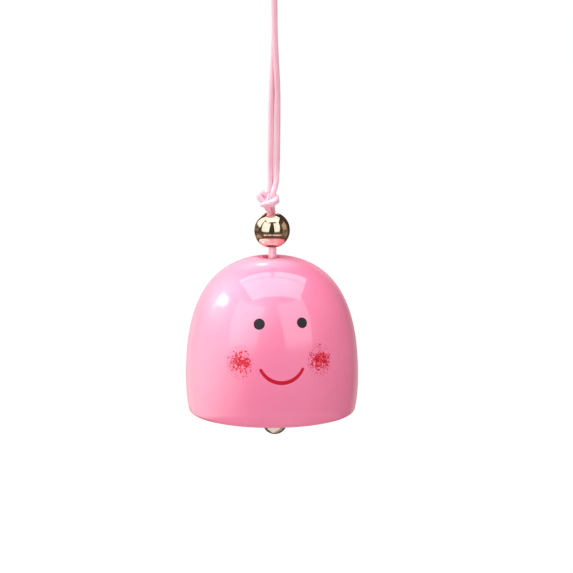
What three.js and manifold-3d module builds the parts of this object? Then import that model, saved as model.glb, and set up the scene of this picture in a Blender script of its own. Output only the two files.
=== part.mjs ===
// Iron wind chime: a painted cast-iron bell on a doubled satin cord, with a gold bead above it and a ball clapper.
// Millimetres, +Z up. The origin is the top of the cord's loop, where a hook carries it.
// The bell's painted face looks towards -Y, and its axis is the Z axis.
import * as THREE from 'three';
import { mergeVertices } from 'three/addons/utils/BufferGeometryUtils.js';
import Module from 'manifold-3d';

const wasm = await Module();
wasm.setup();

// Bell
const crownDrop = 83; // from the hook to the top of the bell
const bellRadius = 24;
const bellHeight = 43.5;
const bellyDepth = 33.9; // from the crown down to the widest line
const crownReach = 21.4; // how far the flat crown pulls the shoulder outwards
const shoulderReach = 14.1; // how far the upright belly pulls the shoulder upwards
const mouthRadius = 23.2;
const skirtReach = 4.2;
const mouthReach = 1.6;
const mouthLean = 0.35;
const bellWall = 1.8;
const crownHoleRadius = 2.2;
const crownHoleRound = 0.5;

// Cord
const cordDiameter = 1.6;
const strandGap = 0.2; // between the two strands above the knot
const pressedPitch = 1.4; // between strand centres where the pair is squeezed through the bead and the bell
const loopRadius = 3.3; // bend of the cord over the hook, at its centre line
const pivotDrop = 9.4; // from the hook to where the loop closes and the chime swings

// Bead, knots and washer
const beadRadius = 5;
const beadRise = 7.33; // bead centre above the crown
const beadEdge = 0.25;
const knotRise = 15.5; // knot centre above the crown
const washerRadius = 4.5;
const washerThickness = 1;
const stopperRadius = 2.5; // of the knot that carries the washer
const stopperCore = 2.3;
const stopperShoulder = 1.7; // from the middle of that knot up to where the washer lies on its turns

// Clapper
const clapperOffset = 0.8; // the tail that carries the clapper leaves the knot this far off its middle
const ballRadius = 3.5;
const ballDrop = 3.55; // ball centre below the mouth of the bell
const eyeWire = 0.7;
const shankRadius = 0.5;
const shankDepth = 2.2;
const clapperKnotCore = 1.2;
const clapperKnotRing = 1;
const clapperKnotRise = 0.9; // knot centre above the top of its small loop

// Fit and facets
const clearance = 0.3;
const knotTilt = 35; // degrees, of the crossed turns in the two hidden knots
const bellSides = 48;
const smallSides = 28;
const cordSides = 8;
const ringSteps = 18;
const shoulderSteps = 22;
const skirtSteps = 6;
const lipSteps = 6;

// Values worked out from the sizes above
const cordRadius = cordDiameter / 2;
const strandPitch = cordDiameter + strandGap;
const pressedHalfWidth = pressedPitch / 2 + cordRadius;
const boreRadius = pressedHalfWidth + clearance;
const crownZ = -crownDrop;
const mouthZ = crownZ - bellHeight;
const beadZ = crownZ + beadRise;
const knotZ = crownZ + knotRise;
const wireRadius = eyeWire / 2;
const linkRadius = cordRadius + wireRadius + clearance; // the eye and the cord's loop run through each other
const ballZ = mouthZ - ballDrop;
const eyeZ = ballZ + ballRadius + clearance + linkRadius + wireRadius;
const clapperKnotZ = eyeZ + 2 * linkRadius + clapperKnotRise;

// Cord above the knot, from the top down: height, middle of the pair, turn of the pair in degrees about Z
const hangingRoute = [
  [-11.3, 0.72, -100],
  [-16, 0.8, -98],
  [-22, 0.84, -93],
  [-27.5, 0.85, -78],
  [-32.5, 0.84, -58],
  [-37.5, 0.8, -36],
  [-43, 0.74, -22],
  [-50, 0.66, -16],
  [-56.5, 0.55, -16],
  [-62.2, 0.42, -33],
];

// Loop of cord over the hook, from where it closes up to its round: height and half its width
const loopRoute = [
  [-9.4, 0.9],
  [-8, 1.15],
  [-6.4, 1.9],
  [-4.8, 2.75],
  [-3.4, 3.2],
];
const loopTurn = -100;
const loopSway = 0.7; // the loop leans from the hook to the middle of the pair below it

// Overhand knot above the bead, each strand's route from the middle of the knot
const knotCoreRight = [
  [1.15, -0.49, 5], [0.8, -0.6, 3.9], [0.45, -0.72, 2.9], [0.12, -0.75, 1.7],
  [-0.15, -0.4, 0.7], [0, 0, -0.6], [0.1, 0.35, -1.7], [0.15, 0.54, -2.7],
];
const knotCoreLeft = [
  [-0.34, 0.49, 5], [-0.43, 0.55, 3.9], [-0.46, 0.6, 2.9], [-0.6, 0.6, 1.7], [-0.95, 0.3, 0.5],
  [-1.6, 0.1, -0.5], [-1.7, -0.2, -1.3], [-1.25, -0.47, -1.9], [-0.85, -0.54, -2.35], [-0.8, -0.54, -2.7],
];
const knotBandUpper = [
  [-1.2, 0.5, -0.5], [-2.15, 0.25, -0.85], [-2.6, -0.5, -0.85], [-1.75, -1.5, -0.45], [-0.5, -2.05, -0.1],
  [0.55, -1.75, 0.4], [1.15, -0.8, 0.8], [1.05, 0.5, 1.05],
];
const knotEarOut = [
  [1.05, 0.5, 1.05], [0.5, 1.3, 1.2], [-0.5, 1.45, 1.1], [-1.35, 1.1, 1], [-1.83, 0.6, 1.42],
  [-2.27, 0.3, 2.13], [-2.9, 0, 2.3], [-3.53, -0.3, 1.98],
];
const knotEarBack = [
  [-3.53, -0.3, 1.98], [-3.63, -0.45, 1.4], [-3.2, -0.5, 0.74], [-2.65, -0.4, 0.12], [-1.9, 0, -0.3],
  [-1.2, 0.3, -0.5],
];
const knotBandLower = [
  [-1.2, 0.3, -1.2], [-1.4, -0.5, -1.05], [-0.8, -1.2, -0.85], [0.1, -1.45, -0.6], [0.9, -1.2, -0.1],
  [1.35, -0.3, 0],
];
const knotBandBack = [
  [1.35, -0.3, 0], [1.2, 0.8, 0.1], [0.2, 1.5, 0], [-1, 1.15, -0.4], [-1.3, 0.4, -0.8],
];
const knotPacking = 1.45; // radius of the packed middle, where the strands lie on each other

// Pair from the knot through the bead and the crown: height, middle of the pair, turn in degrees about Z
const throughRoute = [
  [-70.6, -0.2, 50],
  [-71.3, -0.13, 55],
  [-73, 0, 66],
  [-76, 0, 84],
  [-79, 0.08, 101],
  [-81.5, 0.18, 109],
  [-84.5, 0.03, 109],
];

const paint = new THREE.MeshStandardMaterial({ color: 0xf08cb4, roughness: 0.18, metalness: 0 });
const gold = new THREE.MeshStandardMaterial({ color: 0xdcc8a0, roughness: 0.08, metalness: 1 });
const satinCord = new THREE.MeshStandardMaterial({ color: 0xf6b9d0, roughness: 0.45, metalness: 0 });
const steel = new THREE.MeshStandardMaterial({ color: 0xb9bcc0, roughness: 0.3, metalness: 1 });

function toSolid(geometry) {
  geometry.deleteAttribute('normal');
  geometry.deleteAttribute('uv');
  const merged = mergeVertices(geometry, 1e-4);
  return new wasm.Manifold(new wasm.Mesh({
    numProp: 3,
    vertProperties: new Float32Array(merged.attributes.position.array),
    triVerts: new Uint32Array(merged.index.array),
  }));
}

function toGeometry(solid) {
  const { vertProperties, triVerts } = solid.getMesh();
  const geometry = new THREE.BufferGeometry();
  geometry.setAttribute('position', new THREE.BufferAttribute(new Float32Array(vertProperties), 3));
  geometry.setIndex(new THREE.BufferAttribute(new Uint32Array(triVerts), 1));
  geometry.computeVertexNormals();
  return geometry;
}

function join(geometries) {
  const solids = geometries.map(toSolid);
  return toGeometry(solids.reduce((whole, next) => whole.add(next)));
}

// A closed solid of revolution about Z, from an outline of [radius, height] points
function revolve(outline, sides) {
  const points = outline.map(([radius, height]) => new THREE.Vector2(radius, height));
  return new THREE.LatheGeometry(points, sides).rotateX(Math.PI / 2);
}

function ball(centre, radius, sides = cordSides) {
  return new THREE.SphereGeometry(radius, sides, sides * 3 / 4).translate(...centre);
}

function ring(centre, ringRadius, tubeRadius, [turnX, turnY]) {
  return new THREE.TorusGeometry(ringRadius, tubeRadius, cordSides, ringSteps)
    .rotateX(THREE.MathUtils.degToRad(turnX))
    .rotateY(THREE.MathUtils.degToRad(turnY))
    .translate(...centre);
}

// One length of cord along a smooth curve through the points
function cord(points, steps, radius = cordRadius) {
  const section = new THREE.Shape();
  for (let side = 0; side < cordSides; side += 1) {
    const angle = 2 * Math.PI * side / cordSides;
    const corner = [radius * Math.cos(angle), radius * Math.sin(angle)];
    if (side === 0) section.moveTo(...corner);
    else section.lineTo(...corner);
  }
  section.closePath();
  const extrudePath = new THREE.CatmullRomCurve3(points.map((point) => new THREE.Vector3(...point)));
  return new THREE.ExtrudeGeometry(section, { steps, extrudePath, bevelEnabled: false });
}

// The route of one strand of a pair that turns about its own middle as it goes down
function strand(route, pitch, side) {
  return route.map(([height, middle, turn]) => {
    const angle = THREE.MathUtils.degToRad(turn);
    return [middle + side * pitch / 2 * Math.cos(angle), side * pitch / 2 * Math.sin(angle), height];
  });
}

function bellOutlineCurves() {
  const belly = new THREE.Vector2(bellRadius, -bellyDepth);
  const lean = Math.atan2(mouthLean, mouthReach);
  const skirtEnd = new THREE.Vector2(mouthRadius, -bellHeight + bellWall / 2 * (1 - Math.sin(lean)));
  const shoulder = new THREE.CubicBezierCurve(
    new THREE.Vector2(0, 0),
    new THREE.Vector2(crownReach, 0),
    new THREE.Vector2(bellRadius, shoulderReach - bellyDepth),
    belly,
  );
  const skirt = new THREE.CubicBezierCurve(
    belly,
    new THREE.Vector2(bellRadius, -bellyDepth - skirtReach),
    new THREE.Vector2(mouthRadius + mouthLean, skirtEnd.y + mouthReach),
    skirtEnd,
  );
  return [[shoulder, shoulderSteps], [skirt, skirtSteps]];
}

// Points down the bell's outside, each with its outward normal
function bellSurface() {
  const rows = [];
  for (const [curve, count] of bellOutlineCurves()) {
    for (let step = rows.length ? 1 : 0; step <= count; step += 1) {
      const point = curve.getPoint(step / count);
      const along = curve.getTangent(step / count);
      rows.push({ point, normal: new THREE.Vector2(-along.y, along.x) });
    }
  }
  return rows;
}

// Height of the outside of the bell, above the crown, at a radius on its upper part
function crownHeightAt(radius) {
  const rows = bellSurface();
  const next = rows.findIndex(({ point }) => point.x >= radius);
  const [above, below] = [rows[next - 1].point, rows[next].point];
  const share = (radius - above.x) / (below.x - above.x);
  return above.y + share * (below.y - above.y);
}

function bellShell() {
  const roundRadius = crownHoleRadius + crownHoleRound;
  const rows = bellSurface();
  const edgeHeight = crownHeightAt(roundRadius);
  const outline = [];
  for (let degrees = 180; degrees > 90; degrees -= 22.5) {
    const angle = THREE.MathUtils.degToRad(degrees);
    outline.push([
      roundRadius + crownHoleRound * Math.cos(angle),
      edgeHeight - crownHoleRound + crownHoleRound * Math.sin(angle),
    ]);
  }
  outline.push([roundRadius, edgeHeight]);
  for (const { point } of rows) {
    if (point.x > roundRadius + clearance) outline.push([point.x, point.y]);
  }
  const { point: lip, normal: lipNormal } = rows[rows.length - 1];
  const lipCentre = lip.clone().addScaledVector(lipNormal, -bellWall / 2);
  const lipAngle = Math.atan2(lipNormal.y, lipNormal.x);
  for (let step = 1; step < lipSteps; step += 1) {
    const angle = lipAngle - Math.PI * step / lipSteps;
    outline.push([
      lipCentre.x + bellWall / 2 * Math.cos(angle),
      lipCentre.y + bellWall / 2 * Math.sin(angle),
    ]);
  }
  for (const { point, normal } of rows.filter((row, place) => place % 2 === 0).reverse()) {
    const inner = point.clone().addScaledVector(normal, -bellWall);
    if (inner.x > crownHoleRadius + clearance) outline.push([inner.x, inner.y]);
  }
  outline.push([crownHoleRadius, -bellWall]);
  outline.push(outline[0]);
  return revolve(outline.reverse(), bellSides);
}

function goldBead() {
  const holeAngle = Math.asin((boreRadius + beadEdge) / beadRadius);
  const outline = [];
  const steps = 20;
  for (let step = 0; step <= steps; step += 1) {
    const angle = Math.PI - holeAngle - (Math.PI - 2 * holeAngle) * step / steps;
    outline.push([beadRadius * Math.sin(angle), beadRadius * Math.cos(angle)]);
  }
  const rimHeight = beadRadius * Math.cos(holeAngle);
  outline.push([boreRadius, rimHeight - beadEdge], [boreRadius, beadEdge - rimHeight], outline[0]);
  return revolve(outline, smallSides);
}

function stopperWasher() {
  const outline = [
    [boreRadius, 0], [washerRadius, 0], [washerRadius, washerThickness], [boreRadius, washerThickness], [boreRadius, 0],
  ];
  return revolve(outline, smallSides);
}

function clapperBall() {
  const holeRadius = shankRadius + clearance;
  const holeAngle = Math.asin(holeRadius / ballRadius);
  const outline = [];
  const steps = 16;
  for (let step = 0; step <= steps; step += 1) {
    const angle = Math.PI - (Math.PI - holeAngle) * step / steps;
    outline.push([ballRadius * Math.sin(angle), ballRadius * Math.cos(angle)]);
  }
  const holeFloor = ballRadius - shankDepth - clearance;
  outline.push([holeRadius, holeFloor], [0, holeFloor]);
  outline[0][0] = 0;
  return revolve(outline, smallSides);
}

function clapperEye() {
  const shankTop = -linkRadius;
  const shankEnd = -linkRadius - wireRadius - clearance - shankDepth;
  const shank = new THREE.CylinderGeometry(shankRadius, shankRadius, shankTop - shankEnd, cordSides)
    .rotateX(Math.PI / 2)
    .translate(0, 0, (shankTop + shankEnd) / 2);
  return join([ring([0, 0, 0], linkRadius, wireRadius, [0, 90]), shank]);
}

function cordLoop() {
  const angle = THREE.MathUtils.degToRad(loopTurn);
  const roundZ = cordRadius - loopRadius;
  const place = (height, offset) => {
    const sway = loopSway * Math.min(1, Math.max(0, -height / pivotDrop));
    return [sway + offset * Math.cos(angle), offset * Math.sin(angle), height];
  };
  const points = loopRoute.map(([height, half]) => place(height, -half));
  for (let degrees = 180; degrees >= 0; degrees -= 20) {
    const turn = THREE.MathUtils.degToRad(degrees);
    points.push(place(roundZ + loopRadius * Math.sin(turn), loopRadius * Math.cos(turn)));
  }
  points.push(...loopRoute.map(([height, half]) => place(height, half)).reverse());
  return join([cord(points, 26), ball(points[0], cordRadius), ball(points[points.length - 1], cordRadius)]);
}

function hangingCord(side) {
  const points = strand(hangingRoute, strandPitch, side);
  return join([cord(points, 20), ball(points[0], cordRadius)]);
}

function topKnot() {
  const runs = [
    [knotCoreRight, 9], [knotCoreLeft, 10], [knotBandUpper, 9], [knotEarOut, 9], [knotEarBack, 7],
    [knotBandLower, 6], [knotBandBack, 6],
  ];
  const packed = [[0, 0, 0.6], [-0.2, 0, -0.6]].map((centre) => ball(centre, knotPacking, 12));
  const knuckles = [knotEarOut[0], knotEarBack[0], knotBandBack[0]].map((centre) => ball(centre, cordRadius));
  return join([...runs.map(([points, steps]) => cord(points, steps)), ...packed, ...knuckles]);
}

function throughCord(bottomZ) {
  const last = throughRoute[throughRoute.length - 1];
  const route = [...throughRoute, [bottomZ, last[1], last[2]]];
  return join([1, -1].map((side) => cord(strand(route, pressedPitch, side), 12)));
}

function stopperKnot() {
  const turnRadius = stopperRadius - cordRadius;
  return join([
    ball([0, 0, 0], stopperCore, 12),
    ring([0, 0, 0], turnRadius, cordRadius, [knotTilt, 0]),
    ring([0, 0, 0], turnRadius, cordRadius, [-knotTilt, 0]),
  ]);
}

function clapperCord(length) {
  return join([cord([[0, 0, 0], [0, 0, -length / 2], [0, 0, -length]], 8), ball([0, 0, 0], cordRadius)]);
}

function clapperKnot() {
  return join([
    ball([0, 0, 0], clapperKnotCore, 12),
    ring([0, 0, 0], clapperKnotRing, cordRadius, [knotTilt, 0]),
    ring([0, 0, 0], clapperKnotRing, cordRadius, [-knotTilt, 0]),
    ring([0, 0, -clapperKnotRise - linkRadius], linkRadius, cordRadius, [90, 0]),
  ]);
}

function node(name, geometry, material, position = [0, 0, 0]) {
  const mesh = new THREE.Mesh(geometry, material);
  mesh.name = name;
  mesh.position.set(...position);
  return mesh;
}

const washerZ = crownZ - bellWall + crownHeightAt(washerRadius) - clearance - washerThickness;
const stopperZ = washerZ - clearance - stopperShoulder;
const clapperPivotZ = stopperZ - Math.sqrt((stopperCore + clearance + cordRadius) ** 2 - clapperOffset ** 2);
const clapperKnotTop = clapperKnotZ + clapperKnotRing + cordRadius;

const windChime = new THREE.Group();
windChime.add(
  node('cord_loop', cordLoop(), satinCord),
  node('hanging_cord_right', hangingCord(1), satinCord),
  node('hanging_cord_left', hangingCord(-1), satinCord),
  node('top_knot', topKnot(), satinCord, [0, 0, knotZ]),
  node('through_cord', throughCord(stopperZ + stopperCore + clearance), satinCord),
  node('gold_bead', goldBead(), gold, [0, 0, beadZ]),
  node('bell_shell', bellShell(), paint, [0, 0, crownZ]),
  node('stopper_washer', stopperWasher(), steel, [0, 0, washerZ]),
  node('stopper_knot', stopperKnot(), satinCord, [0, 0, stopperZ]),
);

const clapper = new THREE.Group();
clapper.position.x = clapperOffset;
clapper.add(
  node('clapper_cord', clapperCord(clapperPivotZ - clapperKnotTop - clearance), satinCord, [0, 0, clapperPivotZ]),
  node('clapper_knot', clapperKnot(), satinCord, [0, 0, clapperKnotZ]),
  node('clapper_eye', clapperEye(), steel, [0, 0, eyeZ]),
  node('clapper_ball', clapperBall(), gold, [0, 0, ballZ]),
);
windChime.add(clapper);

export default windChime;
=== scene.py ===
# Iron wind chime: a painted bell on a doubled satin cord, with a gold bead above it and a ball clapper in it.
# Sizes in the dictionaries are in millimetres, and mm turns them into the scene's metres. Those of the lamps,
# the studio and its rooms are in metres. Colours are written as a screen shows them, 0 to 255.
import math

import bmesh
import bpy
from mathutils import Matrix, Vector, noise


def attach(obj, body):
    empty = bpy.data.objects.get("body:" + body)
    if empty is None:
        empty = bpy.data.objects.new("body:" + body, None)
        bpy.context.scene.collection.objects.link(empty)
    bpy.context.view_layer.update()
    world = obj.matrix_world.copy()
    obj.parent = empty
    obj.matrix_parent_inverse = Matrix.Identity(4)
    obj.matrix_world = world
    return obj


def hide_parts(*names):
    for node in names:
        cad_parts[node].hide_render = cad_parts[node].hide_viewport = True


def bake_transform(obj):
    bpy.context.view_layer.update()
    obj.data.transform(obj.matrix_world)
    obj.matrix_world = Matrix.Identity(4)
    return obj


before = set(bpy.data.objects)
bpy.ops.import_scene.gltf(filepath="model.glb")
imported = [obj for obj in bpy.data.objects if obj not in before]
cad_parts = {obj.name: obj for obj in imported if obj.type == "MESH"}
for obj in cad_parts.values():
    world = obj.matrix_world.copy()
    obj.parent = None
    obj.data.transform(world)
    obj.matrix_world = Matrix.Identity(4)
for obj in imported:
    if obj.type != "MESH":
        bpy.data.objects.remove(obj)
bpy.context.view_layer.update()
mm = 0.001


def choose(piece):
    # selects that piece alone
    bpy.ops.object.select_all(action="DESELECT")
    piece.select_set(True)
    bpy.context.view_layer.objects.active = piece


def openForEditing(piece):
    choose(piece)
    bpy.ops.object.mode_set(mode="EDIT")
    bpy.ops.mesh.select_all(action="DESELECT")


def closeEditing():
    bpy.ops.object.mode_set(mode="OBJECT")


def pick(piece, part, test):
    # selects verts, edges or faces by their place or normal
    bpy.ops.mesh.select_all(action="DESELECT")
    bpy.context.tool_settings.mesh_select_mode = (part == "verts", part == "edges", part == "faces")
    mesh = bmesh.from_edit_mesh(piece.data)
    for element in getattr(mesh, part):
        if test(element):
            element.select_set(True)
    mesh.select_flush_mode()
    bmesh.update_edit_mesh(piece.data)


def turnOutward():
    bpy.ops.mesh.select_all(action="SELECT")
    bpy.ops.mesh.normals_make_consistent(inside=False)


def flipFaces(piece):
    openForEditing(piece)
    bpy.ops.mesh.select_all(action="SELECT")
    bpy.ops.mesh.flip_normals()
    closeEditing()


def nameNew(name):
    piece = bpy.context.object
    piece.name = name
    piece.data.name = name
    return piece


def applyAll(piece):
    choose(piece)
    for modifier in list(piece.modifiers):
        bpy.ops.object.modifier_apply(modifier=modifier.name)
    bpy.ops.object.transform_apply(location=True, rotation=True, scale=True)


def smooth(piece, degrees=40):
    choose(piece)
    bpy.ops.object.shade_smooth_by_angle(angle=math.radians(degrees))


def joinPieces(name, pieces):
    choose(pieces[0])
    for piece in pieces:
        piece.select_set(True)
    bpy.ops.object.join()
    return nameNew(name)


def reach(point):
    return math.hypot(point[0], point[1])


def middle(edge):
    return (edge.verts[0].co + edge.verts[1].co) / 2


def isLevel(edge):
    return abs(edge.verts[0].co.z - edge.verts[1].co.z) < 1e-6


def isSharp(edge, degrees):
    return edge.calc_face_angle(0) > math.radians(degrees)


def screen(colour):
    # a colour as it looks on a screen, the way that the shader wants it
    shares = [level / 255 for level in colour]
    return (*(s / 12.92 if s < 0.04045 else ((s + 0.055) / 1.055) ** 2.4 for s in shares), 1)


class Amount:
    # a number that runs through the nodes; sums on it add Math nodes
    def __init__(self, finish, socket):
        self.finish = finish
        self.socket = socket

    def other(self, output):
        return Amount(self.finish, self.socket.node.outputs[output])

    def work(self, operation, *others):
        return self.finish.add("ShaderNodeMath", {"operation": operation}, [self, *others])

    def span(self, other):
        # the length of a step of this much one way and the other much square to it
        return (self * self + other * other).work("SQRT")

    def __add__(self, other):
        return self.work("ADD", other)

    def __sub__(self, other):
        return self.work("SUBTRACT", other)

    def __mul__(self, other):
        return self.work("MULTIPLY", other)

    def __truediv__(self, other):
        return self.work("DIVIDE", other)

    def __rsub__(self, other):
        return self.finish.add("ShaderNodeMath", {"operation": "SUBTRACT"}, [other, self])

    def __rtruediv__(self, other):
        return self.finish.add("ShaderNodeMath", {"operation": "DIVIDE"}, [other, self])

    __radd__ = __add__
    __rmul__ = __mul__


def together(operation, amounts):
    total = amounts[0]
    for amount in amounts[1:]:
        total = total.work(operation, amount)
    return total


class Finish:
    # a node tree being built, for a material or the world
    def __init__(self, owner):
        owner.use_nodes = True
        self.owner = owner
        self.tree = owner.node_tree
        self.tree.nodes.clear()

    def add(self, kind, settings=None, sockets=None, output=0):
        node = self.tree.nodes.new(kind)
        for name, value in (settings or {}).items():
            setattr(node, name, value)
        entries = sockets.items() if isinstance(sockets, dict) else enumerate(sockets or [])
        for key, value in entries:
            if isinstance(value, Amount):
                self.tree.links.new(value.socket, node.inputs[key])
            else:
                node.inputs[key].default_value = value
        return Amount(self, node.outputs[output]) if len(node.outputs) else node

    def place(self):
        # the point on the piece, in millimetres
        here = self.add("ShaderNodeTexCoord", output="Object")
        return self.add("ShaderNodeVectorMath", {"operation": "SCALE"}, {0: here, "Scale": 1 / mm})

    def height(self, point):
        return self.add("ShaderNodeSeparateXYZ", None, [point], output="Z")

    def grain(self, point, size, detail=2.0, roughness=0.5, distortion=0.0):
        # even noise whose spots are about that many millimetres across
        return self.add("ShaderNodeTexNoise", None, {
            "Vector": point, "Scale": 1 / size, "Detail": detail, "Roughness": roughness,
            "Distortion": distortion})

    def streaks(self, point, stretch, size, detail, roughness):
        # grain drawn out along the axis whose stretch is the smallest
        squeezed = self.add("ShaderNodeVectorMath", {"operation": "MULTIPLY"}, [point, stretch])
        return self.grain(squeezed, size, detail, roughness)

    def rise(self, amount, low, high, start=0.0, end=1.0):
        return self.add(
            "ShaderNodeMapRange", {"interpolation_type": "SMOOTHSTEP"}, [amount, low, high, start, end])

    def fall(self, amount, low, high):
        return self.rise(amount, low, high, 1.0, 0.0)

    def between(self, amount, low, high, fade):
        # 1 inside the range and 0 outside it
        half = fade / 2
        return self.rise(amount, low - half, low + half) * self.fall(amount, high - half, high + half)

    def tint(self, share, first, second):
        ends = [screen(colour) if isinstance(colour, tuple) else colour for colour in (first, second)]
        return self.add("ShaderNodeMix", {"data_type": "RGBA"}, {0: share, 6: ends[0], 7: ends[1]}, output=2)

    def bump(self, height, depth, strength=1.0, under=None):
        sockets = {"Height": height, "Distance": depth * mm, "Strength": strength}
        if under is not None:
            sockets["Normal"] = under
        return self.add("ShaderNodeBump", None, sockets)

    def seenPlain(self):
        # 1 for what the camera, gloss and glass see, and 0 for the light that falls on things
        path = self.add("ShaderNodeLightPath")
        return together("MAXIMUM", [
            path.other(f"Is {kind} Ray") for kind in ("Camera", "Glossy", "Transmission")])

    def blendOf(self, share, first, second):
        return self.add("ShaderNodeMixShader", None, [share, first, second])

    def closeWith(self, shader, output="ShaderNodeOutputMaterial"):
        self.add(output, None, [shader])
        return self.owner

    def surface(self, sockets):
        return self.closeWith(self.add("ShaderNodeBsdfPrincipled", None, sockets))


def newFinish(name):
    return Finish(bpy.data.materials.new(name))


view = {
    "aim": (0, 0, -92),  # on the bell's axis, a little under the crown
    "azimuth": -6.4,
    "away": 883.3,  # level distance
    "height": 80.49,
    "right": 4.05,  # the bell stands left of the middle of the picture
    "up": 0.42,
    "width": 158.9,  # what the picture takes in at the bell
    "sensor": 36,
    "nearest": 50,
    "farthest": 30000,
}


def setCamera():
    turn = math.radians(view["azimuth"])
    aim = Vector(view["aim"]) * mm
    place = Vector((math.sin(turn) * view["away"], -math.cos(turn) * view["away"], view["height"])) * mm
    ahead = (aim - place).normalized()
    right = ahead.cross(Vector((0, 0, 1))).normalized()
    up = right.cross(ahead)
    target = aim + (right * view["right"] + up * view["up"]) * mm
    bpy.ops.object.camera_add(location=place)
    camera = bpy.context.object
    camera.name = "camera"
    camera.rotation_euler = (target - place).to_track_quat("-Z", "Y").to_euler()
    camera.data.sensor_width = view["sensor"]
    camera.data.lens = view["sensor"] * (aim - place).length / (view["width"] * mm)
    camera.data.clip_start = view["nearest"] * mm
    camera.data.clip_end = view["farthest"] * mm
    bpy.context.scene.camera = camera


# lamps that light the object, as seen from the bell: azimuth 0 is in front of the face, plus to the right,
# and the size is in degrees
lamps = {
    "lampLeft": {"azimuth": -105, "elevation": 28, "away": 1.6, "size": (44, 44), "level": 2.4},
    "lampFrontLeft": {"azimuth": -45, "elevation": 20, "away": 1.6, "size": (44, 50), "level": 1.45},
    "lampFrontRight": {"azimuth": 33, "elevation": 20, "away": 1.6, "size": (44, 50), "level": 1.16},
    "lampAbove": {"azimuth": 0, "elevation": 85, "away": 1.5, "size": (60, 50), "level": 3.9},
    "lampBelow": {"azimuth": 12, "elevation": -45, "away": 0.8, "size": (44, 44), "level": 1.0},
}

studio = {
    "aim": (0, 0, -0.095),
    "floorSize": 24,
    "floorDrop": 1.12,
    "floorPaper": (0.86, 0.86, 0.86, 1),
    "floorGlow": 1.06,
    "floorWhite": 0.92,  # this much of what is seen of the floor glows; the rest takes the object's shadow
    "ambient": 0.46,
    "ambientTint": (1, 0.98, 0.985, 1),
    "roomLightTint": (1, 0.985, 0.93, 1),
    "windowFade": 1.6,  # degrees
}

# the lit ceiling panels that the rooms below share, in shares of the height over the bell
ceiling = {
    "lowest": 0.05,  # directions that rise less than this count as this
    "sides": (-0.61, 0.73),
    "sideFade": 0.03,
    "front": (-0.535, -0.505),
    "back": (0.44, 0.48),
    "divide": 0.205,  # the dark bar between the front panel and the back one
    "divideLean": -0.1,
    "divideHalf": 0.022,
    "divideFade": 0.01,
    "rib": -0.02,  # across the back panel
    "ribWidth": 0.012,
    "ribShade": 0.75,
}

# The room that the gloss of the paint shows, in the lamps' directions. Each window has its left and its right
# edge, both with a lean, where its bottom and its top fade, and a level. Each glow has an azimuth, an
# elevation, where its bright middle ends, where it ends, and a level. Each patch has azimuths, elevations,
# a fade and a colour, and later ones lie over earlier ones.
enamelRoom = {
    "radius": 0.9,
    "colour": (86, 78, 64),
    "opening": (-23, 4),  # the white shows through here behind the object, in degrees off straight back
    "openingHeight": (-0.3, 0.38),
    "ceilingLevels": (4.0, 3.85),
    "lightsEnd": (-30, -26.5),  # the table cuts the lights off below
    "mottle": None,
    "seeThrough": False,
    "windows": {
        "left": ((-66, -0.2), (-29.5, 0.23), (0, 12), (45, 48), 1.9),
        "right": ((14.5, -0.22), (49, 0.24), (3, 12), (49, 52), 2.2),
    },
    "glows": {
        "keyLeft": (-112.5, 30, 3, 8, 7.4),
        "keyMiddle": (-106, 31.2, 3, 8, 7.4),
        "keyRight": (-99.5, 32.4, 3, 8, 7.4),
        "keyTail": (-113, 21.5, 1, 8.5, 2.5),
        "backSpot": (-179.6, 40.8, 1, 4, 7),
        "frontHigh": (-35, 40, 0, 42, 2.55),
        "sideFrontHigh": (-70, 40, 0, 42, 1.25),
        "sideFront": (-70, 8, 0, 42, 2.4),
        "sideFrontLow": (-70, -25, 0, 42, 0.85),
        "sideHigh": (-105, 40, 0, 42, 3.15),
        "side": (-105, 8, 0, 42, 1.75),
        "sideLow": (-105, -25, 0, 42, 1.8),
        "sideBackHigh": (-145, 40, 0, 42, 1.4),
        "sideBack": (-145, 8, 0, 42, 0.8),
        "sideBackLow": (-145, -25, 0, 42, 0.9),
        "behind": (177, 41, 3, 25, 1.55),
        "behindRight": (158, 10, 0, 20, 0.45),
        "rightCorner": (156, -20, 0, 31, 0.58),
    },
    "patches": {
        "sideWallLeft": ((-160, -50), (-22, 26), 9, (158, 148, 124)),
        "shadeBackLeft": ((-162, -128), (-22, 8), 5, (96, 88, 74)),
        "brownDoor": ((58, 124), (-16, 30), 4, (128, 88, 64)),
        "darkCorner": ((126, 158), (-40, 60), 4, (72, 70, 60)),
        "underWindows": ((-180, 180), (-25, -14), 3, (96, 78, 66)),
        "tableFront": ((-180, 180), (-46, -26.5), 1, (132, 96, 76)),
        "tableEdge": ((-100, 100), (-28, -25), 0.8, (206, 178, 150)),
        "tableTop": ((-180, 180), (-95, -46), 5, (236, 228, 208)),
    },
}

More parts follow.
